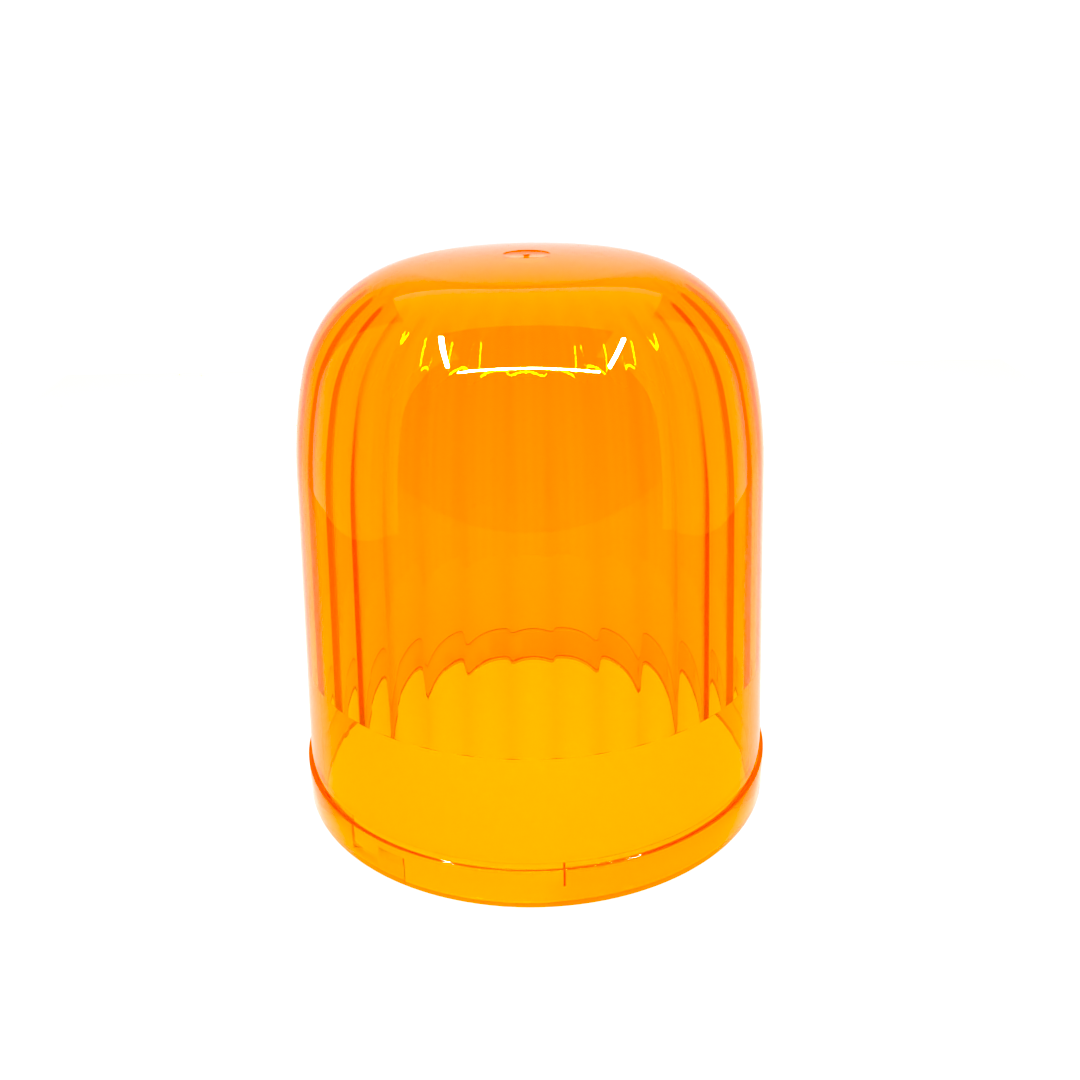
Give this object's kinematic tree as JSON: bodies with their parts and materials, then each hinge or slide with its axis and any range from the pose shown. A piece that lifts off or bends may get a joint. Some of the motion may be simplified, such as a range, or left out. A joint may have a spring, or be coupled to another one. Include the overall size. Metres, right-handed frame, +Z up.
{
  "type": "warning beacon lens",
  "caption": "Round-topped amber screw-on lens for a roadwork warning beacon, with upright inner flutes and an open bayonet rim.",
  "frame": {"origin": "centre of the open rim's bottom edge, on the dome's axis", "axes": "+Z up the dome's axis towards the crown; -Y is the side the camera sees, with one bayonet stop face 6.2 degrees to its right"},
  "size_m": [0.13, 0.13, 0.1462],
  "materials": {
    "amber_plastic": "polished transparent"
  },
  "bodies": {
    "root": {"beacon_lens": "amber_plastic"}
  },
  "joints": []
}
